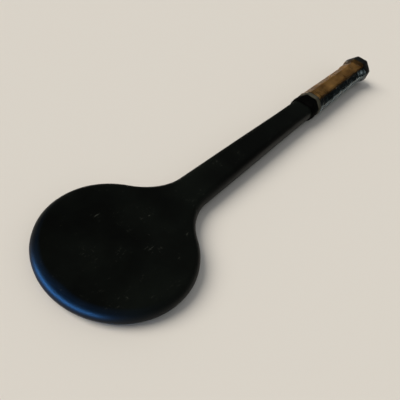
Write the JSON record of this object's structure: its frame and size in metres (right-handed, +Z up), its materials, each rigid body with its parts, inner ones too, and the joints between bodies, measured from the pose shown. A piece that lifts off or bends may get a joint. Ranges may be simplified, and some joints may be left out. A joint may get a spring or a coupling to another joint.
{
  "type": "tennis training racket",
  "caption": "Small round-headed solid wooden training racket with a black finish, a rubber collar, a wound grip under yellowed film and a flared butt cap.",
  "frame": {"origin": "centre of the bounding box, on the surface that the racket lies on", "axes": "+X from the head towards the butt, +Y across the head, +Z up; the racket rests on the head's rim and on the butt cap, so its own axis rises about one degree towards +X"},
  "size_m": [0.5838, 0.12, 0.0351],
  "materials": {
    "lacquered_wood": "satin black lacquer",
    "bare_wood": "sanded beech",
    "dowel_wood": "sanded birch",
    "moulded_nylon": "moulded satin black",
    "moulded_door": "moulded satin black",
    "screw_steel": "zinc plated",
    "grip_strip": "matte polyurethane",
    "tack_steel": "blued",
    "tape": "semi-gloss vinyl",
    "collar_rubber": "moulded matte",
    "grip_film": "glossy polyethylene film, yellowed"
  },
  "bodies": {
    "racket": {"blade": "lacquered_wood", "handle_cheek_upper": "bare_wood", "handle_cheek_lower": "bare_wood", "dowel_1": "dowel_wood", "dowel_2": "dowel_wood", "butt_cap": "moulded_nylon", "butt_screw_left": "screw_steel", "butt_screw_right": "screw_steel", "grip_wrap": "grip_strip", "grip_tack": "tack_steel", "finishing_tape": "tape", "film_sleeve": "grip_film"},
    "collar": {"rubber_collar": "collar_rubber"},
    "door": {"butt_door": "moulded_door"}
  },
  "joints": [
    {"name": "collar_slide", "type": "slide", "parent": "racket", "child": "collar", "axis": [-0.9998, 0, -0.0187], "range_m": [0, 0.03]},
    {"name": "butt_door_pull", "type": "slide", "parent": "racket", "child": "door", "axis": [0.9998, 0, 0.0187], "range_m": [0, 0.006]}
  ]
}
